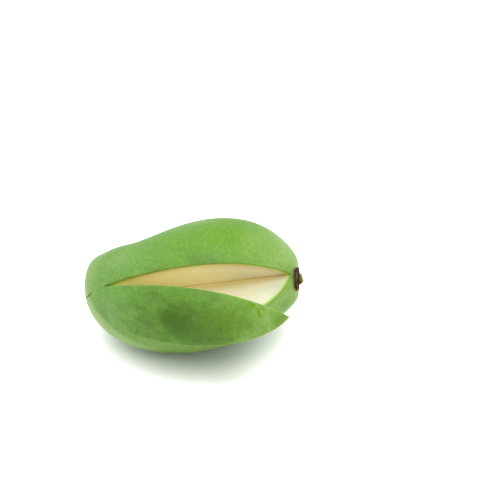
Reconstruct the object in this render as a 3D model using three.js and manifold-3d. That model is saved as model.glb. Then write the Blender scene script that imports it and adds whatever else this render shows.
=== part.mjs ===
// A green mango lying on its cheek. Two straight knife cuts meet inside it, and the wedge
// between them is swung open on a bridge of uncut flesh at the tip end.
// Millimetres, +Z up. +X points to the stem end and -Y to the cut side. The origin is on the
// surface that the fruit lies on, under the middle of its box.
import * as THREE from 'three';
import { mergeVertices } from 'three/addons/utils/BufferGeometryUtils.js';
import Module from 'manifold-3d';

const wasm = await Module();
wasm.setup();

// Fruit body, about the middle of its long axis. The lists are the terms in t, t^2, t^3
// and t^4 of a place t along that axis, from -1 at the tip to 1 at the stem.
const halfLength = 57;
const halfWidth = 35.4;
const halfThickness = 34.9;
const stemBluntness = 0.70;
const tipBluntness = 0.81;
const widthSwell = [0.20, -0.06, -0.24];
const thicknessSwell = [0.15, -0.27, -0.16];
const sidewaysBend = [15.0, 0.2, -9.9, 6.2];
const upwardBend = [7.8, -0.2, -6.0];
const flatSpotDepth = 0.8;
const sidesAround = 60;
const ringsAlong = 40;
const mergeTolerance = 1e-4;

// Knife cuts: the valley is the straight line in which the two cut faces meet.
const valleyStemEnd = new THREE.Vector3(53.2, 3.4, 13.8);
const valleyTipEnd = new THREE.Vector3(-51.4, -19.0, -1.3);
const upperCutAngle = 56.7;
const lowerCutAngle = -13.3;
const cutReach = 80;
const kerf = 0.4;

// The wedge hangs on the uncut bridge and slides out over the lower cut face.
const bridgeLength = 9.3;
const hingeOut = 10.2;
const swingAngle = 17.9;
const liftAngle = 0.4;
const bridgeOverlap = 3;

// Where the knife point nicked the skin past the bridge, in the upper cut's plane.
const nickStart = new THREE.Vector3(-47.0, -22.0, 5.2);
const nickEnd = new THREE.Vector3(-51.8, -18.3, -1.4);
const nickWidth = 0.6;
const nickDepth = 4;

// Stalk: a corky collar round the broken stub, in a flat seat at the stem end.
const seatCentre = new THREE.Vector3(54.8, 6.6, 8.7);
const stalkAxis = new THREE.Vector3(0.985, 0, 0.17).normalize();
const seatRadius = 6.6;
const collarRadius = 6.2;
const collarHeight = 1.1;
const collarEdge = 0.37;
const stubRadius = 2.4;
const stubHeight = 4.2;
const gap = 0.3;
const seatSides = 40;
const collarSides = 36;
const stubSides = 24;

// The stub from its foot to its broken end: shares of its radius and of its height.
const stubOutline = [[0, 0], [1, 0], [0.9, 0.7], [0.6, 1], [0, 0.9]];

const skinFinish = { color: 0x7aa845, roughness: 0.5, metalness: 0 };
const collarFinish = { color: 0x5a3a34, roughness: 0.9, metalness: 0 };
const stubFinish = { color: 0x7d7a3a, roughness: 0.8, metalness: 0 };

const radians = THREE.MathUtils.degToRad;

function polynomial(terms, t) {
  return terms.reduce((sum, term, index) => sum + term * t ** (index + 1), 0);
}

// Skin: an oval section at each place t along the fruit, and an angle round it.
function skinPoint(t, around) {
  const bluntness = THREE.MathUtils.lerp(tipBluntness, stemBluntness, (1 + t) / 2);
  const girth = Math.max(0, 1 - t * t) ** (bluntness / 2);
  const width = halfWidth * girth * (1 + polynomial(widthSwell, t));
  const thickness = halfThickness * girth * (1 + polynomial(thicknessSwell, t));
  return new THREE.Vector3(
    halfLength * t,
    polynomial(sidewaysBend, t) + width * Math.cos(around),
    polynomial(upwardBend, t) + thickness * Math.sin(around),
  );
}

function skinGeometry() {
  const geometry = new THREE.SphereGeometry(1, sidesAround, ringsAlong);
  const position = geometry.attributes.position;
  const unit = new THREE.Vector3();
  for (let i = 0; i < position.count; i += 1) {
    unit.fromBufferAttribute(position, i);
    const skin = skinPoint(unit.y, Math.atan2(unit.x, unit.z));
    position.setXYZ(i, skin.x, skin.y, skin.z);
  }
  return geometry;
}

function toSolid(geometry) {
  const bare = geometry.clone();
  bare.deleteAttribute('normal');
  bare.deleteAttribute('uv');
  const merged = mergeVertices(bare, mergeTolerance);
  return new wasm.Manifold(new wasm.Mesh({
    numProp: 3,
    vertProperties: new Float32Array(merged.attributes.position.array),
    triVerts: new Uint32Array(merged.index.array),
  }));
}

function toGeometry(solid) {
  const mesh = solid.getMesh();
  const geometry = new THREE.BufferGeometry();
  geometry.setAttribute('position', new THREE.BufferAttribute(mesh.vertProperties, 3));
  geometry.setIndex(new THREE.BufferAttribute(mesh.triVerts, 1));
  geometry.computeVertexNormals();
  return geometry;
}

// Directions of the cuts: along the valley, and out of the fruit along each cut face.
const along = valleyStemEnd.clone().sub(valleyTipEnd).normalize();
const level = new THREE.Vector3(0, -1, 0).projectOnPlane(along).normalize();
const upright = new THREE.Vector3().crossVectors(level, along);

function faceDirection(degrees) {
  const angle = radians(degrees);
  return level.clone().multiplyScalar(Math.cos(angle)).addScaledVector(upright, Math.sin(angle));
}

// The wedge of space between the cut faces, past a place along the valley. The inset keeps
// it that far clear of both faces.
function wedgeGeometry(start, inset) {
  const upper = radians(upperCutAngle);
  const lower = radians(lowerCutAngle);
  const middle = (upper + lower) / 2;
  const cornerReach = inset / Math.sin((upper - lower) / 2);
  const corner = new THREE.Vector2(Math.cos(middle), Math.sin(middle)).multiplyScalar(cornerReach);
  const outline = [
    corner,
    new THREE.Vector2(Math.cos(lower), Math.sin(lower)).multiplyScalar(cutReach).add(corner),
    new THREE.Vector2(Math.cos(upper), Math.sin(upper)).multiplyScalar(cutReach).add(corner),
  ];
  const depth = valleyStemEnd.distanceTo(valleyTipEnd) + cutReach - start;
  const geometry = new THREE.ExtrudeGeometry(new THREE.Shape(outline), {
    depth,
    bevelEnabled: false,
  });
  const frame = new THREE.Matrix4().makeBasis(level, upright, along.clone().negate());
  frame.setPosition(valleyStemEnd.clone().addScaledVector(along, cutReach));
  return geometry.applyMatrix4(frame);
}

// The wedge turns about the hinge, in the lower cut face and then a little up off it.
function swingMatrix() {
  const outward = faceDirection(lowerCutAngle);
  const faceUp = new THREE.Vector3().crossVectors(outward, along);
  const hinge = valleyTipEnd.clone()
    .addScaledVector(along, bridgeLength)
    .addScaledVector(outward, hingeOut);
  return new THREE.Matrix4().makeTranslation(hinge)
    .multiply(new THREE.Matrix4().makeRotationAxis(outward, radians(liftAngle)))
    .multiply(new THREE.Matrix4().makeRotationAxis(faceUp, -radians(swingAngle)))
    .multiply(new THREE.Matrix4().makeTranslation(hinge.clone().negate()));
}

function nickGeometry() {
  const line = nickEnd.clone().sub(nickStart);
  const facing = new THREE.Vector3().crossVectors(along, faceDirection(upperCutAngle));
  const direction = line.clone().projectOnPlane(facing).normalize();
  const inward = new THREE.Vector3().crossVectors(facing, direction);
  const geometry = new THREE.BoxGeometry(line.length(), nickDepth, nickWidth);
  const frame = new THREE.Matrix4().makeBasis(direction, inward, facing.normalize());
  frame.setPosition(nickStart.clone().add(nickEnd).multiplyScalar(0.5));
  return geometry.applyMatrix4(frame);
}

// The flat spot that the fruit lies on, as the space under it.
function groundGeometry(lowest) {
  const size = 4 * halfLength;
  const geometry = new THREE.BoxGeometry(size, size, size);
  return geometry.translate(0, 0, lowest + flatSpotDepth - size / 2);
}

// Turns a shape whose axis is +Y to the stalk, that far above the seat.
function placeOnSeat(geometry, height) {
  const turn = new THREE.Quaternion().setFromUnitVectors(new THREE.Vector3(0, 1, 0), stalkAxis);
  const place = seatCentre.clone().addScaledVector(stalkAxis, height);
  const frame = new THREE.Matrix4().compose(place, turn, new THREE.Vector3(1, 1, 1));
  return geometry.applyMatrix4(frame);
}

// The room for the stalk, as the space above the flat seat.
function seatGeometry() {
  const height = 2 * seatRadius;
  const space = new THREE.CylinderGeometry(seatRadius, seatRadius, height, seatSides);
  return placeOnSeat(space, height / 2);
}

function fruitGeometry() {
  const skin = skinGeometry();
  skin.computeBoundingBox();
  const whole = toSolid(skin)
    .subtract(toSolid(groundGeometry(skin.boundingBox.min.z)))
    .subtract(toSolid(seatGeometry()))
    .subtract(toSolid(nickGeometry()));
  const body = whole.subtract(toSolid(wedgeGeometry(bridgeLength, 0)));
  const wedge = whole.intersect(toSolid(wedgeGeometry(bridgeLength - bridgeOverlap, kerf)));
  const swung = toGeometry(wedge).applyMatrix4(swingMatrix());
  return toGeometry(body.add(toSolid(swung)));
}

function collarGeometry() {
  const bore = stubRadius + gap;
  const outline = [
    new THREE.Vector2(bore, 0),
    new THREE.Vector2(collarRadius, 0),
    new THREE.Vector2(collarRadius, collarEdge),
    new THREE.Vector2(collarRadius - collarEdge, collarHeight),
    new THREE.Vector2(bore + collarEdge, collarHeight),
    new THREE.Vector2(bore, collarEdge),
    new THREE.Vector2(bore, 0),
  ];
  return placeOnSeat(new THREE.LatheGeometry(outline, collarSides), gap);
}

function stubGeometry() {
  const outline = stubOutline.map(
    ([out, up]) => new THREE.Vector2(stubRadius * out, stubHeight * up),
  );
  return placeOnSeat(new THREE.LatheGeometry(outline, stubSides), gap);
}

function piece(name, geometry, finish) {
  const mesh = new THREE.Mesh(geometry, new THREE.MeshStandardMaterial(finish));
  mesh.name = name;
  return mesh;
}

const group = new THREE.Group();
group.add(piece('mango_fruit', fruitGeometry(), skinFinish));
group.add(piece('stalk_collar', collarGeometry(), collarFinish));
group.add(piece('stalk_stub', stubGeometry(), stubFinish));

// The middle of the box's underside goes to the origin.
const box = new THREE.Box3().setFromObject(group);
const middle = box.getCenter(new THREE.Vector3());
group.position.set(-middle.x, -middle.y, -box.min.z);

export default group;
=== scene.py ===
import math

import bpy
from mathutils import Matrix, Vector, noise


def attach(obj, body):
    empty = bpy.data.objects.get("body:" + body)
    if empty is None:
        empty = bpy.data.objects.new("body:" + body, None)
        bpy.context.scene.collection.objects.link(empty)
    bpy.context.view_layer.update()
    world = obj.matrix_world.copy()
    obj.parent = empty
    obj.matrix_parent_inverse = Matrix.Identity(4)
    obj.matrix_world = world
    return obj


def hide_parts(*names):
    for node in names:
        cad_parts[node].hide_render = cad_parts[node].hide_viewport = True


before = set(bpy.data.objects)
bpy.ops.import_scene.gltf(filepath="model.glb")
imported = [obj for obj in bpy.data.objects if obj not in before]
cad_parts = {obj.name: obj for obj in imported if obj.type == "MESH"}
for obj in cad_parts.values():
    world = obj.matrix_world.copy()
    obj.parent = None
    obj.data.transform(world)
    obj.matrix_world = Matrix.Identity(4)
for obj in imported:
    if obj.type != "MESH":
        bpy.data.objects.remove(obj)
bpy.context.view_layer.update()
mm = 0.001
tiny = 0.01                    # millimetres
aligned = 0.9                  # cosine from which two directions count as the same


def deselectAll():
    if bpy.context.mode != "OBJECT":
        bpy.ops.object.mode_set(mode="OBJECT")
    bpy.ops.object.select_all(action="DESELECT")


def makeActive(piece):
    deselectAll()
    piece.select_set(True)
    bpy.context.view_layer.objects.active = piece


def named(name):
    piece = bpy.context.active_object
    piece.name = piece.data.name = name
    return piece


def selectFaces(piece, wanted):
    # leaves edit mode on, with only the faces for which wanted(face) is true selected
    bpy.ops.object.mode_set(mode="OBJECT")
    for part in (piece.data.vertices, piece.data.edges):
        part.foreach_set("select", [False] * len(part))
    for face in piece.data.polygons:
        face.select = wanted(face)
    bpy.ops.object.mode_set(mode="EDIT")


def applyModifier(piece, kind, **settings):
    makeActive(piece)
    modifier = piece.modifiers.new(kind.title(), kind)
    for key, value in settings.items():
        setattr(modifier, key, value)
    bpy.ops.object.modifier_apply(modifier=modifier.name)


def clamp(value, low=0.0, high=1.0):
    return max(low, min(high, value))


def smoothStep(low, high, value):
    share = clamp((value - low) / (high - low))
    return share * share * (3 - 2 * share)


def srgb(red, green, blue):
    # a colour given in screen values up to 255, as the linear values that shaders take
    def linear(value):
        value /= 255
        return value / 12.92 if value <= 0.04045 else ((value + 0.055) / 1.055) ** 2.4
    return linear(red), linear(green), linear(blue), 1.0


class Wire:
    # one socket of a shader: sums on wires add the nodes that work them out
    def __init__(self, tree, socket=None):
        self.tree, self.socket = tree, socket

    def node(self, kind, settings=None, sockets=None, out=0):
        made = self.tree.nodes.new(kind)
        for key, value in (settings or {}).items():
            setattr(made, key, value)
        for key, value in (sockets or {}).items():
            if isinstance(value, Wire):
                self.tree.links.new(value.socket, made.inputs[key])
            else:
                made.inputs[key].default_value = value
        return Wire(self.tree, made.outputs[out] if len(made.outputs) else None)

    def maths(self, operation, *values):
        return self.node("ShaderNodeMath", {"operation": operation}, dict(enumerate(values)))

    def __add__(self, other):
        return self.maths("ADD", self, other)

    def __sub__(self, other):
        return self.maths("SUBTRACT", self, other)

    def __rsub__(self, other):
        return self.maths("SUBTRACT", other, self)

    def __mul__(self, other):
        return self.maths("MULTIPLY", self, other)

    def __truediv__(self, other):
        return self.maths("DIVIDE", self, other)

    def __rtruediv__(self, other):
        return self.maths("DIVIDE", other, self)

    def __pow__(self, other):
        return self.maths("POWER", self, other)

    def __rpow__(self, other):
        return self.maths("POWER", other, self)

    __radd__ = __add__
    __rmul__ = __mul__

    def atLeast(self, other):
        return self.maths("MAXIMUM", self, other)

    def atMost(self, other):
        return self.maths("MINIMUM", self, other)

    def above(self, other):
        return self.maths("GREATER_THAN", self, other)

    def between(self, low, high, start=0.0, end=1.0):
        return self.node("ShaderNodeMapRange", {"interpolation_type": "SMOOTHSTEP"},
                         {0: self, 1: low, 2: high, 3: start, 4: end})

    def mix(self, first, second, share):
        return self.node("ShaderNodeMix", {"data_type": "RGBA"},
                         {0: share, 6: first, 7: second}, 2)

    def vector(self, operation, *values, out=0):
        return self.node("ShaderNodeVectorMath", {"operation": operation},
                         dict(enumerate(values)), out)

    def minus(self, place):
        return self.vector("SUBTRACT", self, place if isinstance(place, Wire) else tuple(place))

    def times(self, factors):
        return self.vector("MULTIPLY", self, tuple(factors))

    def along(self, direction):
        return self.node("ShaderNodeVectorMath", {"operation": "SCALE"},
                         {0: tuple(direction), "Scale": self})

    def dot(self, direction):
        return self.vector("DOT_PRODUCT", self, tuple(direction), out=1)

    def length(self):
        return self.vector("LENGTH", self, out=1)

    def parts(self):
        return [self.node("ShaderNodeSeparateXYZ", None, {0: self}, index)
                for index in range(3)]

    def attribute(self, name, out):
        return self.node("ShaderNodeAttribute", {"attribute_name": name}, None, out)

    def place(self, kind):
        return self.node("ShaderNodeTexCoord", None, None, kind)

    def noise(self, scale, detail, roughness):
        return self.node("ShaderNodeTexNoise", None, {
            "Vector": self, "Scale": scale, "Detail": detail, "Roughness": roughness})

    def cells(self, scale):
        return self.node("ShaderNodeTexVoronoi", None, {"Vector": self, "Scale": scale},
                         "Distance")

    def bump(self, strength, depth):
        return self.node("ShaderNodeBump", None, {
            "Strength": strength, "Distance": depth * mm, "Height": self})


def newMaterial(name):
    material = bpy.data.materials.new(name)
    material.use_nodes = True
    material.node_tree.nodes.clear()
    return material, Wire(material.node_tree)


def finishMaterial(start, sockets):
    surface = start.node("ShaderNodeBsdfPrincipled", None, sockets)
    start.node("ShaderNodeOutputMaterial", None, {"Surface": surface})


# The fruit, in millimetres from the middle of its long axis, which lies at "place" in the
# part. The swells and bends are the terms in t, t^2 ... of a place t along that axis,
# from -1 at the tip to 1 at the stalk.
fruit = {
    "place": (-1.2392, 3.9754, 34.1636),
    "halfLength": 57.0,
    "halfWidth": 35.4,
    "halfThickness": 34.9,
    "stalkBluntness": 0.70,
    "tipBluntness": 0.81,
    "widthSwell": (0.20, -0.06, -0.24),
    "thicknessSwell": (0.15, -0.27, -0.16),
    "sidewaysBend": (15.0, 0.2, -9.9, 6.2),
    "upwardBend": (7.8, -0.2, -6.0),
    "sides": 256,
    "rings": 190,
    "lastPlace": 0.999,        # just short of the poles, where the fruit has no width
    "leastGirth": 0.001,
    "floorSoftness": 0.5,      # how gently the skin turns into the flat that it lies on
    "edgeAngle": 32,
    # gentle dents and swellings: the middle, how far it reaches and how far it pushes out
    "dents": (((50.5, 0.0, -12.0), 17.0, -1.2), ((56.7, 17.5, 3.3), 13.0, -1.8),
              ((-5.0, 15.0, 29.5), 28.0, 0.6), ((-41.5, 3.0, 16.8), 12.0, 0.9),
              ((-54.0, 3.0, 6.0), 12.0, 0.5)),
}

# The knife work. The two cut faces meet in a straight valley. Angles are from level.
cuts = {
    "valleyStalk": (53.2, 3.4, 13.8),
    "valleyTip": (-51.4, -19.0, -1.3),
    "upperAngle": 56.7,
    "lowerAngle": -13.3,
    "reach": 80.0,
    "kerf": 0.4,
    "droop": 7.2,              # how far the lower face turns down, and where along it does
    "droopSpan": (35.0, 85.0),
    "droopSteps": 30,
    "bridge": 11.6,            # length left uncut at the tip, along the valley
    "hingeAlong": 9.3,
    "hingeOut": 10.2,
    "swing": 17.9,
    "lift": 0.4,
    "bendEnd": 18.5,
    "bendSteps": 14,
    "softMiddle": 13.0,        # where along the valley, and how far, the bend is evened out
    "softReach": 14.0,
    "softPasses": 140,
    "softUpper": (0.6, 4.5),   # from none at the cut face to all of it this far from it
    "softLower": (0.4, 2.6),
    "nickPath": ((-52.9, -16.9, -3.4), (-52.1, -17.9, -2.1), (-50.6, -19.8, 0.5),
                 (-49.3, -20.9, 2.3), (-48.2, -21.5, 3.9), (-47.9, -21.5, 4.4)),
    "nickWidth": 0.85,
    "hookPath": ((-48.5, -20.8, 4.9), (-48.0, -21.6, 4.2), (-47.5, -22.3, 3.9),
                 (-47.0, -23.0, 3.6)),
    "hookWidth": 0.4,
    "nickDepth": 2.4,
    "nickTaper": 0.35,         # how wide and deep its ends are: 0 for points
    "orderFrom": (97.3, -61.7, 43.9),    # a place outside the fruit, off every line in it
}

# Where the stalk grew: a flat of skin in a shallow basin.
seat = {
    "centre": (55.3, 6.65, 8.85),
    "axis": (0.991, 0.123, 0.055),
    "flatRadius": 6.5,
    "basinRadius": 15.0,
    "sink": 0.15,
}

fruitPlace = Vector(fruit["place"])
valleyStalk, valleyTip = Vector(cuts["valleyStalk"]), Vector(cuts["valleyTip"])
along = (valleyStalk - valleyTip).normalized()
level = (Vector((0, -1, 0)) + along * along.y).normalized()
upright = level.cross(along)
stalkCentre, stalkAxis = Vector(seat["centre"]), Vector(seat["axis"]).normalized()
stalkUp = (Vector((0, 0, 1)) - stalkAxis * stalkAxis.z).normalized()
stalkFront = stalkAxis.cross(stalkUp)


def inPart(point):
    return (Vector(point) + fruitPlace) * mm


def inFruit(point):
    return Vector(point) / mm - fruitPlace


def faceDirection(angle):
    return level * math.cos(math.radians(angle)) + upright * math.sin(math.radians(angle))


upperOut, lowerOut = faceDirection(cuts["upperAngle"]), faceDirection(cuts["lowerAngle"])
upperNormal, lowerNormal = upperOut.cross(along), lowerOut.cross(along)
hinge = valleyTip + along * cuts["hingeAlong"] + lowerOut * cuts["hingeOut"]


def polynomial(terms, t):
    total = 0.0
    for term in reversed(terms):
        total = (total + term) * t
    return total


def section(t):
    # middle, half width and half thickness of the fruit at a place t
    swell = fruit["tipBluntness"] + (fruit["stalkBluntness"] - fruit["tipBluntness"]) * (1 + t) / 2
    girth = max(0.0, 1 - t * t) ** (swell / 2)
    middle = Vector((fruit["halfLength"] * t, polynomial(fruit["sidewaysBend"], t),
                     polynomial(fruit["upwardBend"], t)))
    return (middle, fruit["halfWidth"] * girth * (1 + polynomial(fruit["widthSwell"], t)),
            fruit["halfThickness"] * girth * (1 + polynomial(fruit["thicknessSwell"], t)))


def dented(point):
    for middle, reach, push in fruit["dents"]:
        near = (point - Vector(middle)).length / reach
        if near < 1:
            point = point + skinNormal(point) * (push * (1 - near * near) ** 2)
    return point


def seated(point):
    # presses the skin near the stalk down to the seat
    offset = point - stalkCentre
    height = offset.dot(stalkAxis)
    out = (offset - stalkAxis * height).length
    if out > seat["basinRadius"] or abs(height) > seat["basinRadius"]:
        return point
    share = 1 - smoothStep(seat["flatRadius"], seat["basinRadius"], out)
    return point + stalkAxis * (share * min(0.0, -seat["sink"] - height))


def settled(point, floor):
    soft = fruit["floorSoftness"]
    share = clamp(0.5 + 0.5 * (point.z - floor) / soft)
    return Vector((point.x, point.y,
                   floor + (point.z - floor) * share + soft * share * (1 - share)))


def makeSkin():
    deselectAll()
    bpy.ops.mesh.primitive_uv_sphere_add(segments=fruit["sides"], ring_count=fruit["rings"],
                                         radius=1, rotation=(0, math.pi / 2, 0))
    skin = named("mangoFruit")
    bpy.ops.object.transform_apply(location=True, rotation=True, scale=True)
    for vertex in skin.data.vertices:
        unit = vertex.co
        middle, width, thickness = section(clamp(unit.x, -1, 1))
        around = math.atan2(unit.z, unit.y)
        point = middle + Vector((0, width * math.cos(around), thickness * math.sin(around)))
        vertex.co = inPart(settled(seated(dented(point)), -fruitPlace.z))
    return skin


def makeBlade(name, angle, side):
    # a thin plate along one cut face, on the given side of it
    outward = faceDirection(angle)
    facing = outward.cross(along)
    length = (valleyStalk - valleyTip).length + cuts["reach"] - cuts["bridge"]
    middle = (valleyTip + along * (cuts["bridge"] + length / 2)
              + outward * (cuts["reach"] / 2) + facing * (side * cuts["kerf"] / 2))
    turn = Matrix((outward, along, facing)).transposed().to_euler()
    deselectAll()
    bpy.ops.mesh.primitive_cube_add(size=1, location=inPart(middle), rotation=turn)
    blade = named(name)
    blade.scale = Vector((cuts["reach"], length, cuts["kerf"])) * mm
    bpy.ops.object.transform_apply(location=True, rotation=True, scale=True)
    return blade


def droopBlade(blade):
    # turns the blade's underside down towards the stalk end, where the knife ran lower
    for edge in blade.data.edges:
        first, second = (blade.data.vertices[index].co for index in edge.vertices)
        edge.select = abs((second - first).normalized().dot(along)) > aligned
    bpy.ops.object.mode_set(mode="EDIT")
    bpy.ops.mesh.select_mode(type="EDGE")
    bpy.ops.mesh.subdivide(number_cuts=cuts["droopSteps"])
    bpy.ops.mesh.select_mode(type="FACE")
    bpy.ops.object.mode_set(mode="OBJECT")
    slope = math.tan(math.radians(cuts["droop"]))
    for vertex in blade.data.vertices:
        offset = inFruit(vertex.co) - valleyTip
        out = offset.dot(lowerOut)
        if out > 1 and offset.dot(lowerNormal) < cuts["kerf"] / 2:
            share = smoothStep(*cuts["droopSpan"], offset.dot(along))
            vertex.co -= lowerNormal * (out * slope * share * mm)
    return blade


def skinLevel(point):
    # how far out a place is: 0 on the middle line and 1 on the skin
    last = fruit["lastPlace"]
    middle, width, thickness = section(clamp(point.x / fruit["halfLength"], -last, last))
    return math.hypot((point.y - middle.y) / width, (point.z - middle.z) / thickness)


def skinNormal(point):
    here = skinLevel(point)
    return Vector([skinLevel(point + Vector(axis) * tiny) - here
                   for axis in ((1, 0, 0), (0, 1, 0), (0, 0, 1))]).normalized()


def makeNick(name, path, width):
    # a knife-point slit: a strip of box sections along the path, pinched at both ends
    points, taper = [Vector(point) for point in path], cuts["nickTaper"]
    deselectAll()
    bpy.ops.mesh.primitive_cube_add(size=1)
    nick = named(name)
    selectFaces(nick, lambda face: face.normal.x > aligned)
    for _ in points[2:]:
        bpy.ops.mesh.extrude_region_move(TRANSFORM_OT_translate={"value": (1, 0, 0)})
    bpy.ops.object.mode_set(mode="OBJECT")
    for vertex in nick.data.vertices:
        station = round(vertex.co.x + 0.5)
        ahead = points[min(station + 1, len(points) - 1)] - points[max(station - 1, 0)]
        out = skinNormal(points[station])
        pinch = math.sin(math.pi * (station + taper) / (len(points) - 1 + 2 * taper))
        vertex.co = inPart(points[station] + out.cross(ahead).normalized()
                           * (vertex.co.y * width * pinch)
                           + out * (2 * vertex.co.z * cuts["nickDepth"] * pinch))
    return nick


def isWedge(rest):
    # whether a place in the uncut fruit belongs to the wedge between the two cuts
    offset = rest - valleyTip
    clear = cuts["kerf"] / 2
    return (offset.dot(upperNormal) < -clear and offset.dot(lowerNormal) > clear
            and offset.dot(along) > cuts["bridge"])


def swung(rest):
    # the wedge slides out over the lower cut face and lifts a little off it
    left = clamp((cuts["bendEnd"] - (rest - valleyTip).dot(along))
                 / (cuts["bendEnd"] - cuts["bridge"]))
    share = 1 - left * left
    slide = Matrix.Rotation(-math.radians(cuts["swing"]) * share, 3, lowerNormal)
    lift = Matrix.Rotation(math.radians(cuts["lift"]) * share, 3, lowerOut)
    return lift @ (slide @ (rest - hinge)) + hinge


def softenBend(piece):
    # evens out the crease in the skin where the wedge bends away from the bridge
    group = piece.vertex_groups.new(name="bend")
    for vertex, item in zip(piece.data.vertices, piece.data.attributes["restPlace"].data):
        offset = item.vector - valleyTip
        share = (1 - smoothStep(0, cuts["softReach"],
                                abs(offset.dot(along) - cuts["softMiddle"])))
        share *= smoothStep(*cuts["softUpper"], -offset.dot(upperNormal))
        share *= smoothStep(*cuts["softLower"], offset.dot(lowerNormal))
        if share > 0:
            group.add([vertex.index], share, "REPLACE")
    applyModifier(piece, "SMOOTH", factor=0.5, iterations=cuts["softPasses"],
                  vertex_group=group.name)
    piece.vertex_groups.clear()


def makeFruit(skinMaterial, fleshMaterial):
    piece = makeSkin()
    piece.data.materials.append(skinMaterial)
    for cutter in (makeBlade("upperBlade", cuts["upperAngle"], -1),
                   droopBlade(makeBlade("lowerBlade", cuts["lowerAngle"], 1)),
                   makeNick("nickBlade", cuts["nickPath"], cuts["nickWidth"]),
                   makeNick("hookBlade", cuts["hookPath"], cuts["hookWidth"])):
        cutter.data.materials.append(fleshMaterial)
        applyModifier(piece, "BOOLEAN", operation="DIFFERENCE", object=cutter, solver="EXACT",
                      material_mode="TRANSFER")
        bpy.data.objects.remove(cutter, do_unlink=True)
    makeActive(piece)
    bpy.ops.object.mode_set(mode="EDIT")
    bpy.ops.mesh.select_all(action="SELECT")
    # the cuts number the mesh differently from run to run: this puts it in one order
    bpy.context.scene.cursor.location = inPart(cuts["orderFrom"])
    bpy.ops.mesh.sort_elements(type="CURSOR_DISTANCE", elements={"VERT", "EDGE", "FACE"})
    bpy.context.scene.cursor.location = (0, 0, 0)
    selectFaces(piece, lambda face: face.material_index == 1)
    bpy.ops.mesh.remove_doubles(threshold=tiny * mm, use_unselected=True)
    for step in range(cuts["bendSteps"] + 1):
        # edges across the wedge where it bends at the bridge
        far = cuts["bridge"] + (cuts["bendEnd"] - cuts["bridge"]) * step / cuts["bendSteps"]
        bpy.ops.object.mode_set(mode="OBJECT")
        inWedge = [isWedge(inFruit(vertex.co)) for vertex in piece.data.vertices]
        selectFaces(piece, lambda face: face.material_index == 1
                    and all(inWedge[index] for index in face.vertices))
        bpy.ops.mesh.bisect(plane_co=inPart(valleyTip + along * far), plane_no=along)
    bpy.ops.object.mode_set(mode="OBJECT")
    rest = piece.data.attributes.new("restPlace", "FLOAT_VECTOR", "POINT")
    for vertex in piece.data.vertices:
        place = inFruit(vertex.co)
        rest.data[vertex.index].vector = place
        if isWedge(place):
            vertex.co = inPart(swung(place))
    softenBend(piece)
    makeActive(piece)
    bpy.ops.object.shade_smooth_by_angle(angle=math.radians(fruit["edgeAngle"]))
    return piece


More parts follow.
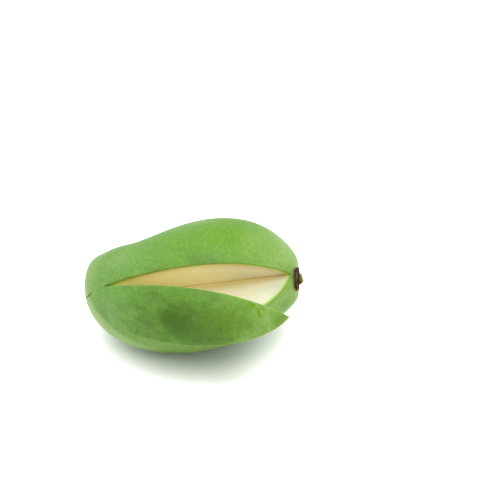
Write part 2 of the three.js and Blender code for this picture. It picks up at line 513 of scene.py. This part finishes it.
# Skin: waxy green with fine pores, rubbed clear of its bloom here and there. Noises are
# given by scale, detail and roughness. Spans are two places, or two levels of a noise, and
# the strengths there, which are 0 and 1 if they aren't given.
skinLook = {
    "base": srgb(85, 125, 40),
    "bloom": srgb(88, 124, 58),
    # deep green, also used for painted shade on the wedge's middle and beneath the wedge
    "deepGreenAndShade": srgb(53, 84, 20),
    # dark green, used for painted shade in the wedge's middle
    "mossGreenAndShade": srgb(44, 76, 6),
    "olive": srgb(69, 92, 18),
    "rubbed": srgb(85, 128, 14),
    # ripe green, also used for a painted shadow beside the wedge's end
    "ripeGreenAndShadow": srgb(72, 104, 14),
    "pale": srgb(112, 143, 69),
    # painted light: a pale glow of light bounced up from the floor
    "floorBounce": srgb(122, 150, 85),
    "rim": srgb(131, 158, 73),
    "scuff": srgb(82, 118, 4),
    "blush": srgb(131, 107, 66),
    # oval patches of tone: the middle, the reach and the strength
    # mostly painted shade: the wedge's middle darker, where it faces away from the light
    "patches": (("deepGreenAndShade", (11.0, -28.5, 12.5), (43.0, 18.0, 19.0), 0.9),
                # painted shade: the darkest middle of the wedge
                ("mossGreenAndShade", (5.5, -31.3, 14.5), (9.5, 6.5, 7.0), 0.75),
                ("olive", (28.0, -23.0, 18.5), (12.0, 8.0, 7.0), 0.4),
                ("ripeGreenAndShadow", (33.0, -19.0, 18.0), (21.0, 13.0, 12.0), 0.65),
                ("ripeGreenAndShadow", (51.5, -2.5, 15.5), (10.0, 8.5, 7.5), 0.8),
                ("ripeGreenAndShadow", (9.0, -15.0, 31.5), (16.0, 7.0, 6.0), 0.35),
                # painted shadow that the wedge casts on the skin below its end
                ("ripeGreenAndShadow", (51.5, -6.5, 0.0), (7.0, 9.0, 6.0), 0.45),
                ("rubbed", (20.5, -2.0, 35.2), (14.0, 11.0, 9.0), 0.55),
                ("pale", (32.5, 1.0, 32.0), (9.0, 12.0, 7.0), 0.45),
                ("pale", (-33.0, -10.0, 21.0), (15.0, 12.0, 9.0), 0.3),
                ("pale", (53.8, -0.3, 10.6), (4.0, 4.0, 5.5), 0.9),
                # painted bounce light along the lower edge towards the tip
                ("floorBounce", (-37.0, -26.0, -18.0), (11.0, 9.0, 8.0), 0.5),
                ("deepGreenAndShade", (14.7, -19.1, 28.7), (15.0, 6.0, 6.0), 0.4),
                ("deepGreenAndShade", (-8.5, -36.0, 2.5), (15.0, 6.0, 9.0), 0.3),
                # painted shade: the underside beneath the wedge darker
                ("deepGreenAndShade", (-15.0, -26.0, -25.0), (17.0, 6.0, 6.0), 0.4),
                ("deepGreenAndShade", (43.0, -12.0, 15.5), (5.0, 5.0, 5.0), 0.25)),
    "patchSpan": (0.0, 1.25, 1.0, 0.0),      # out from their middles, in shares of the reach
    "patchEdge": 1.5,              # how ragged their edges are
    "stretch": (0.6, 1.0, 1.0),    # draws the larger noises out along the fruit
    "broadNoise": (0.055, 2.0, 0.5),
    "middlingNoise": (0.2, 4.0, 0.6),
    "mottleNoise": (0.62, 2.0, 0.7),
    "grainNoise": (1.5, 2.0, 0.6),
    "raggedness": 0.8,
    "wander": 30.0,                # how far the tones along the fruit wander
    "bloomSpan": (6.0, -40.0, 0.0, 0.85),    # along the fruit
    "paleSpan": (24.0, 50.0),
    "paleWander": 0.5,
    "paleTip": (-42.0, -54.0, 0.0, 0.6),
    "paleUnder": (-2.0, -18.0, 0.0, 0.7),    # downwards
    "paleStrength": 0.85,
    "floorBounceSlope": 0.6,              # painted bounce light from the floor: it lies low and towards the tip, on the cut side
    "floorBounceSpan": (-26.0, -31.0, 0.0, 0.9),
    "floorBounceSide": (14.0, -10.0),
    "lowWander": 3.0,
    "poreTint": (0.72, 0.76, 0.66),
    "poreSpan": (0.52, 0.26, 0.0, 0.8),
    "fleckTint": (1.28, 1.2, 1.4),
    "fleckSpan": (0.48, 0.74, 0.0, 0.8),
    "grainSpan": (0.5, 0.75, 0.0, 0.4),
    "dotScale": 0.42,
    "dotSpan": (0.1, 0.24, 1.0, 0.0),
    "dotPlaces": (0.55, 0.4),
    "dotStrength": 0.6,
    "blushSpan": (5.9, 6.7, 0.2, 0.0),       # out from the stalk
    "blushHeights": (-6.0, -3.0),
    "scuffs": ((36.0, -10.5, 25.3), (37.0, -10.8, 24.3), (38.7, -10.1, 23.4),
               (40.5, -9.5, 22.1), (42.8, -7.5, 21.3)),
    "scuffSpots": ((36.8, -10.7, 24.5), (38.7, -10.1, 23.4), (41.1, -9.8, 21.4),
                   (41.6, -10.2, 20.4), (42.0, -10.7, 19.6)),
    "scuffSpotRadius": 0.5,
    "scuffSpan": (-0.1, 1.0, 0.95, 0.0),     # out from the scuffs' lines and spots
    "scuffEdge": (0.9, 1.2),
    "rimStart": 26.5,              # where along the valley the rim is at its full strength
    "rimSpan": (0.1, 0.55, 0.5, 0.0),
    "rimSlack": 0.1,
    "roughness": (0.3, 0.7, 0.42, 0.6),
    "mottleRoughness": 0.1,
    "relief": (0.4, 0.2, 0.1),     # middling noise, mottle and the dots' depth
    "bump": (0.3, 0.3),            # strength, and depth in millimetres
    "specular": 0.18,
}


def distanceToStroke(rest, start, end):
    stroke = Vector(end) - Vector(start)
    offset = rest.minus(start)
    share = offset.dot(stroke / stroke.length_squared).atLeast(0.0).atMost(1.0)
    return offset.minus(share.along(stroke)).length()


def makeSkinMaterial():
    look = skinLook
    material, start = newMaterial("mangoSkin")
    rest = start.attribute("restPlace", 1)
    x, y, z = rest.parts()
    lengthwise = rest.times(look["stretch"])
    broad = lengthwise.noise(*look["broadNoise"])
    middling = lengthwise.noise(*look["middlingNoise"])
    mottle = rest.noise(*look["mottleNoise"])
    grain = rest.noise(*look["grainNoise"])
    ragged = (middling - 0.5) * look["raggedness"]

    # broad tones: bloom towards the tip, paler towards the stalk and underneath
    wander = (broad - 0.5) * look["wander"]
    color = start.mix(look["base"], look["bloom"], (x + wander).between(*look["bloomSpan"]))
    low = z + ragged * look["lowWander"]
    pale = (x + wander * look["paleWander"]).between(*look["paleSpan"])
    pale = pale.atLeast(x.between(*look["paleTip"])).atLeast(low.between(*look["paleUnder"]))
    color = start.mix(color, look["pale"], pale * look["paleStrength"])
    # painted bounce light from the floor, low on the cut side towards the tip
    floorBounce = (low + x * look["floorBounceSlope"]).between(*look["floorBounceSpan"])
    color = start.mix(color, look["floorBounce"], floorBounce * y.between(*look["floorBounceSide"]))
    for tone, middle, reach, strength in look["patches"]:
        out = rest.minus(middle).times(1 / value for value in reach).length()
        share = (out + ragged * look["patchEdge"]).between(*look["patchSpan"])
        color = start.mix(color, look[tone], share * strength)

    # fine mottle: dark pores and light waxy flecks
    light, dark = color.times(look["fleckTint"]), color.times(look["poreTint"])
    color = start.mix(color, light, mottle.between(*look["fleckSpan"]))
    color = start.mix(color, dark, mottle.between(*look["poreSpan"]))
    color = start.mix(color, light, grain.between(*look["grainSpan"]))
    dots = (rest.cells(look["dotScale"]).between(*look["dotSpan"])
            * mottle.between(*look["dotPlaces"]))
    color = start.mix(color, dark, dots * look["dotStrength"])

    # a pinkish brown edge against the cork
    offset = rest.minus(seat["centre"])
    height = offset.dot(stalkAxis)
    out = (offset.length() ** 2.0 - height ** 2.0) ** 0.5
    blush = (out + ragged).between(*look["blushSpan"])
    color = start.mix(color, look["blush"], blush * height.between(*look["blushHeights"]))

    # scuffs where the wax is rubbed through on the wedge
    near = [distanceToStroke(rest, first, second)
            for first, second in zip(look["scuffs"], look["scuffs"][1:])]
    near += [rest.minus(spot).length() - look["scuffSpotRadius"] for spot in look["scuffSpots"]]
    nearest = near[0]
    for other in near[1:]:
        nearest = nearest.atMost(other)
    raggedEdge, mottledEdge = look["scuffEdge"]
    nearest = nearest + ragged * raggedEdge + (mottle - 0.5) * mottledEdge
    color = start.mix(color, look["scuff"], nearest.between(*look["scuffSpan"]))

    # a thin light rim where the knife left the wedge's skin
    corner = rest.minus(cuts["valleyTip"])
    fromUpper = -1.0 * corner.dot(upperNormal) - cuts["kerf"]
    fromLower = corner.dot(lowerNormal) - cuts["kerf"]
    onWedge = (corner.dot(along).between(cuts["bridge"], look["rimStart"])
               * fromUpper.above(-look["rimSlack"]) * fromLower.above(-look["rimSlack"]))
    rim = fromUpper.atMost(fromLower).between(*look["rimSpan"])
    color = start.mix(color, look["rim"], onWedge * rim)

    roughness = broad.between(*look["roughness"]) + mottle * look["mottleRoughness"]
    swell, fine, pit = look["relief"]
    relief = middling * swell + mottle * fine - dots * pit
    finishMaterial(start, {"Base Color": color, "Roughness": roughness,
                           "Normal": relief.bump(*look["bump"]),
                           "Specular IOR Level": look["specular"]})
    return material


# Flesh: pale and firm, with a green rind that fades inwards from the skin.
fleshLook = {
    # the upper face's tones are painted lighter than the lower face's, against the shade that the
    # upper face lies in
    "upperTip": srgb(238, 229, 176),
    "upperMiddle": srgb(236, 226, 178),
    "upperStalk": srgb(203, 192, 153),
    # painted shade: the lower face darker and warmer by the valley, fading out from it
    "lowerValley": srgb(202, 186, 130),
    "lowerMiddle": srgb(198, 194, 162),
    "lowerOuter": srgb(178, 180, 154),
    "streak": srgb(200, 176, 114),
    # painted shade and warm bounce in the corner where the two cut faces meet
    "valley": srgb(204, 168, 50),
    "fibreStretch": (0.12, 1.0, 1.0),
    "fibreNoise": (0.9, 3.0, 0.6),
    "cloudStretch": (0.5, 1.0, 1.0),
    "cloudNoise": (0.12, 2.0, 0.5),
    "upperReach": (0.5, 1.5, 1.0, 0.0),    # squares of distances from the upper cut
    "wander": 8.0,
    "tipSpan": (20.0, 55.0),               # along the valley
    "stalkSpan": (55.0, 95.0),
    "paleSpan": (80.0, 104.0, 1.0, 2.1),
    "middleSpan": (1.5, 7.0),              # out from the valley
    "middleWander": 0.3,
    "outerSpan": (6.0, 15.0),
    "outerWander": 0.5,
    "streakSpan": (0.5, 0.8, 0.0, 0.15),
    "valleyShadeSpan": (0.1, 1.4, 0.6, 0.0),
    "bruise": (0.62, 0.69, 0.65),  # tint where the cuts run out under the stalk
    "bruiseSpan": (90.0, 108.0),
    "bruiseUpper": 5.0,
    "bruiseOut": 0.2,
    "slopeStep": 0.5,
    "depthWander": 0.3,
    "lipShadeTint": (0.75, 0.73, 0.51),        # painted shade, with some of the rind's own tint: the upper face darker and yellower under its rind
    "lipShadeDepths": (0.5, 8.0, 1.0, 0.0),
    # how much of its depth counts in the upper face, from the tip's end of the cut on
    "upperDepths": (22.0, 50.0, 0.62, 0.74),
    # layers of the rind: tones in the lower and the upper face, and the depths between
    # which they give way to the next
    # the upper face's rind tones are painted lighter than the lower face's, against the shade it
    # lies in
    "rind": ((srgb(150, 168, 98), srgb(180, 176, 86), 1.1, 2.6),
             (srgb(106, 142, 30), srgb(112, 146, 24), 0.45, 1.6),
             (srgb(80, 112, 12), srgb(86, 126, 6), 0.0, 0.6)),
    "gapEndLight": (1.2, 1.4, 1.3),  # painted light: lighter where the gap runs out at the bridge, in the shade of its narrow end
    "gapEndLightSpan": (27.0, 14.0),
    "grainNoise": (1.4, 2.0, 0.5),
    "relief": (0.6, 0.3),          # fibres and grain
    "bump": (0.25, 0.2),
    "roughness": (0.3, 0.7, 0.42, 0.55),
    "specular": 0.4,
    "subsurface": 0.15,
    "subsurfaceRadius": (1.0, 0.7, 0.3),
    "subsurfaceScale": 1.5,
}


def polynomialWire(terms, t):
    total = t * terms[-1]
    for term in reversed(terms[:-1]):
        total = (total + term) * t
    return total


def levelWire(x, y, z):
    # skinLevel, as nodes
    t = x / fruit["halfLength"]
    half = (fruit["stalkBluntness"] - fruit["tipBluntness"]) / 4
    power = t * half + (fruit["tipBluntness"] / 2 + half)
    girth = (1.0 - t * t).atLeast(fruit["leastGirth"]) ** power
    width = girth * (polynomialWire(fruit["widthSwell"], t) + 1.0) * fruit["halfWidth"]
    thickness = (girth * (polynomialWire(fruit["thicknessSwell"], t) + 1.0)
                 * fruit["halfThickness"])
    across = (y - polynomialWire(fruit["sidewaysBend"], t)) / width
    upward = (z - polynomialWire(fruit["upwardBend"], t)) / thickness
    return (across * across + upward * upward) ** 0.5


def depthWire(rest, step):
    # how deep under the skin a place is, in millimetres: the level over its slope
    x, y, z = rest.parts()
    here = levelWire(x, y, z)
    slopes = [levelWire(x + step, y, z) - here, levelWire(x, y + step, z) - here,
              levelWire(x, y, z + step) - here]
    slope = here.node("ShaderNodeCombineXYZ", None, dict(enumerate(slopes))).length() / step
    return (1.0 - here) / slope


def makeFleshMaterial():
    look = fleshLook
    material, start = newMaterial("mangoFlesh")
    rest = start.attribute("restPlace", 1)
    fibres = rest.times(look["fibreStretch"]).noise(*look["fibreNoise"])
    cloudy = rest.times(look["cloudStretch"]).noise(*look["cloudNoise"])
    corner = rest.minus(cuts["valleyTip"])
    far = corner.dot(along)
    fromValley = corner.minus(far.along(along)).length()
    fromUpper = corner.dot(upperNormal)
    onUpper = (fromUpper * fromUpper).between(*look["upperReach"])

    wander = (cloudy - 0.5) * look["wander"]
    # the upper cut face painted lighter than the lower, against its shade
    upper = start.mix(look["upperTip"], look["upperMiddle"],
                      (far + wander).between(*look["tipSpan"]))
    upper = start.mix(upper, look["upperStalk"], (far + wander).between(*look["stalkSpan"]))
    spread = fromValley * far.between(*look["paleSpan"])
    # painted shade: the lower face darker and warmer near the valley
    lower = start.mix(look["lowerValley"], look["lowerMiddle"],
                      (spread + wander * look["middleWander"]).between(*look["middleSpan"]))
    lower = start.mix(lower, look["lowerOuter"],
                      (spread + wander * look["outerWander"]).between(*look["outerSpan"]))
    color = start.mix(lower, upper, onUpper)
    color = start.mix(color, look["streak"], fibres.between(*look["streakSpan"]))
    # painted shade along the valley where the cut faces meet
    valleyShade = (fromValley + (fibres - 0.5)).between(*look["valleyShadeSpan"])
    color = start.mix(color, look["valley"], valleyShade)
    bruise = far - onUpper * look["bruiseUpper"] - fromValley * look["bruiseOut"]
    color = start.mix(color, color.times(look["bruise"]), bruise.between(*look["bruiseSpan"]))

    depth = depthWire(rest, look["slopeStep"]) + (fibres - 0.5) * look["depthWander"]
    # painted shade on the upper face just under its rind
    lipShadeTint = depth.between(*look["lipShadeDepths"]) * onUpper
    color = start.mix(color, color.times(look["lipShadeTint"]), lipShadeTint)
    depth = depth * (1.0 - onUpper * (1.0 - far.between(*look["upperDepths"])))
    # rind tones, painted lighter on the shaded upper face
    for lowerTone, upperTone, outer, inner in look["rind"]:
        color = start.mix(start.mix(lowerTone, upperTone, onUpper), color,
                          depth.between(outer, inner))
    # painted light where the gap narrows to its end at the bridge
    color = start.mix(color, color.times(look["gapEndLight"]), far.between(*look["gapEndLightSpan"]))

    long, fine = look["relief"]
    relief = fibres * long + rest.noise(*look["grainNoise"]) * fine
    finishMaterial(start, {"Base Color": color, "Roughness": fibres.between(*look["roughness"]),
                           "Normal": relief.bump(*look["bump"]),
                           "Specular IOR Level": look["specular"],
                           "Subsurface Weight": look["subsurface"],
                           "Subsurface Radius": look["subsurfaceRadius"],
                           "Subsurface Scale": look["subsurfaceScale"] * mm})
    return material


# The stalk end: a crust of cork round the stub where the stalk broke off.
collar = {
    "radius": 4.4,
    "thickness": 1.55,
    "flatten": 0.6,
    "height": 0.55,
    "turns": 160,
    "sides": 40,
    "lumps": 9,
    "lumpShift": (2.2, 2, 0.7),    # makes the lumps uneven
    "lumpSize": 0.25,
    "lumpSpan": (3.2, 6.0),        # out from the axis
    "crustSize": 0.75,
    "crustScale": 0.55,
    "crustNoise": (0.9, 2.1, 4),
    "dip": 0.6,                    # how much lower the ring is in front, and where
    "dipAngle": 58,
    "dipWidth": 28,
}


def onStalk(out, height, angle):
    # a place by its distance from the stalk's axis, its height and its angle from the top
    return (stalkCentre + stalkAxis * height
            + (stalkUp * math.cos(angle) + stalkFront * math.sin(angle)) * out)


def makeCollar(material):
    deselectAll()
    bpy.ops.mesh.primitive_torus_add(
        major_segments=collar["turns"], minor_segments=collar["sides"],
        major_radius=collar["radius"], minor_radius=collar["thickness"])
    piece = named("stalkCollar")
    shift, turns, phase = collar["lumpShift"]
    for vertex in piece.data.vertices:
        place = vertex.co
        angle = math.atan2(place.y, place.x)
        out, height = math.hypot(place.x, place.y), place.z * collar["flatten"]
        lump = math.sin(angle * collar["lumps"] + shift * math.sin(angle * turns + phase))
        swell = 1 + collar["lumpSize"] * lump * smoothStep(*collar["lumpSpan"], out)
        out = collar["radius"] + (out - collar["radius"]) * swell
        fromDip = (math.degrees(angle) - collar["dipAngle"]) / collar["dipWidth"]
        low = 1 - collar["dip"] * math.exp(-fromDip * fromDip)
        height = (collar["height"] + height * swell) * low
        point = onStalk(out, height, angle)
        crust = noise.fractal(point * collar["crustScale"], *collar["crustNoise"]) * low
        centre = onStalk(collar["radius"], collar["height"] * low, angle)
        point += (point - centre).normalized() * (crust * collar["crustSize"])
        vertex.co = inPart(point)
    piece.data.materials.append(material)
    makeActive(piece)
    bpy.ops.object.shade_smooth()
    return piece


# The stub of the stalk, with fibrous sides and a ragged end that was snapped off askew.
stub = {
    "radius": 2.6,
    "sides": 48,
    "foot": -0.4,              # middle of the first length of it, and how long that is
    "footLength": 1.0,
    # heights, and shares of the radius there
    "rings": ((0.5, 1.0), (1.0, 1.0), (1.5, 1.04), (2.0, 1.1), (2.6, 1.14), (3.1, 1.14),
              (3.4, 1.06)),
    "insets": (0.35, 0.45, 0.5),
    "turn": 0.62,              # how far its top side is turned towards the back
    "crest": (-1.2, 0.45),     # where the broken end stands highest, and by how much
    "slopes": (-0.28, 0.75),   # how it falls away above and below that
    "leanFrom": 0.8,
    "endDepths": (0.9, 0.1),   # between these depths the broken end's colour begins
    "ridges": 11,
    "ridgeShift": (1.5, 3),    # makes the ridges uneven
    "ridgeSize": 0.12,
    "sidesFrom": 1.2,          # how far out the ridges begin
    "sideRoughness": 0.12,
    "roughScale": 1.3,
    "roughStretch": 0.4,
    "roughNoise": (1.0, 2.0, 3),
    "raggedness": 0.35,
    "core": (1.0, 0.5),        # radius and height of what stands up in the middle
    "edgeAngle": 50,
}
stubTop = (stalkUp - stalkFront * stub["turn"]).normalized()


def makeStub(material):
    deselectAll()
    bpy.ops.mesh.primitive_cylinder_add(vertices=stub["sides"], radius=stub["radius"],
                                        depth=stub["footLength"],
                                        location=(0, 0, stub["foot"]))
    piece = named("stalkStub")
    bpy.ops.object.transform_apply(location=True, rotation=True, scale=True)
    selectFaces(piece, lambda face: face.normal.z > aligned)
    before, share = stub["foot"] + stub["footLength"] / 2, 1.0
    for height, wanted in stub["rings"]:
        bpy.ops.mesh.extrude_region_move(
            TRANSFORM_OT_translate={"value": (0, 0, height - before)})
        bpy.ops.transform.resize(value=(wanted / share, wanted / share, 1),
                                 center_override=(0, 0, 0))
        before, share = height, wanted
    for inset in stub["insets"]:
        bpy.ops.mesh.inset(thickness=inset, depth=0)
    bpy.ops.object.mode_set(mode="OBJECT")
    top = stub["rings"][-1][0]
    crest, lift = stub["crest"]
    coreRadius, coreHeight = stub["core"]
    shift, turns = stub["ridgeShift"]
    endStart, endFull = (top - depth for depth in stub["endDepths"])
    broken = piece.data.attributes.new("broken", "FLOAT", "POINT")
    for vertex in piece.data.vertices:
        place = vertex.co
        broken.data[vertex.index].value = smoothStep(endStart, endFull, place.z)
        angle, out = math.atan2(place.y, place.x), math.hypot(place.x, place.y)
        ridge = math.sin(angle * stub["ridges"] + shift * math.sin(angle * turns))
        grain = Vector((place.x, place.y, place.z * stub["roughStretch"])) * stub["roughScale"]
        rough = noise.fractal(grain, *stub["roughNoise"])
        if out > stub["sidesFrom"]:
            out += stub["ridgeSize"] * ridge + stub["sideRoughness"] * rough
        height = place.z
        if height > top - tiny:
            height += stub["raggedness"] * rough + coreHeight * (out < coreRadius)
        fromCrest = (onStalk(out, 0, angle) - stalkCentre).dot(stubTop) - crest
        lean = lift + fromCrest * stub["slopes"][fromCrest < 0]
        height += lean * smoothStep(stub["leanFrom"], top, place.z)
        vertex.co = inPart(onStalk(out, height, angle))
    piece.data.materials.append(material)
    makeActive(piece)
    bpy.ops.object.shade_smooth_by_angle(angle=math.radians(stub["edgeAngle"]))
    return piece


# Cork: dark and crumbly, with patches of tone at places round the ring, in degrees.
corkLook = {
    "dark": srgb(34, 21, 11),
    "maroon": srgb(62, 33, 20),
    "mauve": srgb(98, 79, 66),
    "tan": srgb(120, 88, 60),
    "lumpNoise": (420.0, 3.0, 0.6),
    "crumbNoise": (1500.0, 3.0, 0.7),
    "maroonSpan": (0.36, 0.52),
    "patches": ((8, "dark"), (40, "mauve"), (128, "tan"), (250, "mauve"), (300, "tan")),
    "patchSpan": (0.6, 2.6, 0.85, 0.0),
    "patchWander": 4.0,
    "tanSpan": (0.55, 0.7, 0.0, 0.4),
    "darkSpan": (0.45, 0.32, 0.0, 0.7),
    "relief": (0.5, 0.5),          # lumps and crumbs
    "bump": (0.6, 0.3),
    "roughness": (0.3, 0.7, 0.75, 0.95),
    "specular": 0.25,
}


def makeCorkMaterial():
    look = corkLook
    material, start = newMaterial("corkyScar")
    place = start.place("Object")
    lumps = place.noise(*look["lumpNoise"])
    crumbs = place.noise(*look["crumbNoise"])
    color = start.mix(look["dark"], look["maroon"], lumps.between(*look["maroonSpan"]))
    for degrees, tone in look["patches"]:
        middle = onStalk(collar["radius"], collar["height"], math.radians(degrees))
        near = place.minus(inPart(middle)).length() / mm + (lumps - 0.5) * look["patchWander"]
        color = start.mix(color, look[tone], near.between(*look["patchSpan"]))
    color = start.mix(color, look["tan"], crumbs.between(*look["tanSpan"]))
    color = start.mix(color, look["dark"], crumbs.between(*look["darkSpan"]))
    coarse, fine = look["relief"]
    relief = lumps * coarse + crumbs * fine
    finishMaterial(start, {"Base Color": color, "Roughness": crumbs.between(*look["roughness"]),
                           "Normal": relief.bump(*look["bump"]),
                           "Specular IOR Level": look["specular"]})
    return material


# Dry stalk: olive sides that darken towards the foot, painted shade on its lower side, and a pale
# broken end.
stubLook = {
    "olive": srgb(70, 66, 10),
    "dark": srgb(34, 26, 14),
    # painted shade for the stub's lower side
    "brown": srgb(58, 42, 22),
    "pale": srgb(112, 110, 56),
    "fibreStretch": (0.25, 1.0, 1.0),
    "fibreNoise": (1600.0, 3.0, 0.6),
    "oliveSpan": (0.6, 2.2),               # up from the seat
    "undersideShadeSpan": (-0.9, -1.7, 0.0, 0.9),   # painted shade: darker towards its lower side
    "darkSpan": (0.55, 0.7, 0.0, 0.45),
    "bump": (0.5, 0.2),
    "roughness": (0.3, 0.7, 0.6, 0.85),
    "specular": 0.2,
}


def makeStubMaterial():
    look = stubLook
    material, start = newMaterial("dryStalk")
    place = start.place("Object")
    fromSeat = place.minus(inPart(stalkCentre))
    fibres = place.times(look["fibreStretch"]).noise(*look["fibreNoise"])
    height = fromSeat.dot(stalkAxis) / mm + (fibres - 0.5)
    upward = fromSeat.dot(stubTop) / mm + (fibres - 0.5)
    color = start.mix(look["dark"], look["olive"], height.between(*look["oliveSpan"]))
    color = start.mix(color, look["pale"], start.attribute("broken", 2))
    # painted shade on the stub's lower side
    color = start.mix(color, look["brown"], upward.between(*look["undersideShadeSpan"]))
    color = start.mix(color, look["dark"], fibres.between(*look["darkSpan"]))
    finishMaterial(start, {"Base Color": color, "Roughness": fibres.between(*look["roughness"]),
                           "Normal": fibres.bump(*look["bump"]),
                           "Specular IOR Level": look["specular"]})
    return material


# Stage: a pale floor in a bright tent that is open, and so darker, on the camera's side.
stage = {
    "floorSize": 12.0,
    "floor": srgb(252, 252, 255),
    "speckleNoise": (3.0, 2.0, 0.5),
    "floorRoughness": (0.3, 0.7, 0.85, 0.9),
    "sky": srgb(255, 255, 255),
    "overhead": 0.85,          # brightness of the tent overhead, at its sides and in front
    "sides": 1.55,
    "front": 0.6,
    "opening": (0.0, 0.6),
    "sunStrength": 4.0,
    "sunAngle": 60,
    "sunElevation": 75,
    "cameraAzimuth": 11.906,
    "cameraElevation": 33.0,
    "cameraDistance": 900.0,
    "lens": 127.57,
    "sensorWidth": 36,
    "aimRight": 26.163,
    "aimUp": 25.091,
}


def fromAngles(azimuth, elevation):
    # the direction of a place round the part: 0 is in front, at -Y, and 90 at +X
    azimuth, elevation = math.radians(azimuth), math.radians(elevation)
    return Vector((math.sin(azimuth) * math.cos(elevation),
                   -math.cos(azimuth) * math.cos(elevation), math.sin(elevation)))


def makeStage():
    deselectAll()
    bpy.ops.mesh.primitive_plane_add(size=stage["floorSize"])
    floor = named("floor")
    material, start = newMaterial("paleFloor")
    speckle = start.place("Object").noise(*stage["speckleNoise"])
    finishMaterial(start, {"Base Color": stage["floor"],
                           "Roughness": speckle.between(*stage["floorRoughness"])})
    floor.data.materials.append(material)

    world = bpy.data.worlds.new("paleSky")
    bpy.context.scene.world = world
    world.use_nodes = True
    world.node_tree.nodes.clear()
    start = Wire(world.node_tree)
    direction = start.place("Generated")
    tent = direction.dot((0, 0, 1)).between(0.0, 1.0, stage["sides"], stage["overhead"])
    opening = direction.dot(fromAngles(stage["cameraAzimuth"], 0)).between(*stage["opening"])
    strength = tent * (1.0 - opening) + opening * stage["front"]
    background = start.node("ShaderNodeBackground", None,
                            {"Color": stage["sky"], "Strength": strength})
    start.node("ShaderNodeOutputWorld", None, {"Surface": background})

    back = fromAngles(stage["cameraAzimuth"], stage["sunElevation"])
    bpy.ops.object.light_add(type="SUN", location=back)
    sun = bpy.context.active_object
    sun.name = "softLight"
    sun.rotation_euler = (-back).to_track_quat("-Z", "Y").to_euler()
    sun.data.energy = stage["sunStrength"]
    sun.data.angle = math.radians(stage["sunAngle"])
    bpy.context.scene.view_settings.view_transform = "Standard"


def makeCamera():
    azimuth = math.radians(stage["cameraAzimuth"])
    back = fromAngles(stage["cameraAzimuth"], stage["cameraElevation"])
    right = Vector((math.cos(azimuth), math.sin(azimuth), 0))
    aim = right * stage["aimRight"] + back.cross(right) * stage["aimUp"]
    place = inPart(back * stage["cameraDistance"] + aim)
    bpy.ops.object.camera_add(location=place,
                              rotation=(-back).to_track_quat("-Z", "Y").to_euler())
    camera = bpy.context.active_object
    camera.name = "camera"
    camera.data.lens = stage["lens"]
    camera.data.sensor_width = stage["sensorWidth"]
    bpy.context.scene.camera = camera


makeCamera()
makeStage()
print("camera and stage done")
fleshMaterial = makeFleshMaterial()
mangoFruit = makeFruit(makeSkinMaterial(), fleshMaterial)
print("fruit:", len(mangoFruit.data.polygons), "faces")
stalkCollar = makeCollar(makeCorkMaterial())
stalkStub = makeStub(makeStubMaterial())
for piece, node in ((mangoFruit, "mango_fruit"), (stalkCollar, "stalk_collar"),
                    (stalkStub, "stalk_stub")):
    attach(piece, "root")
    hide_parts(node)
print("stalk done")
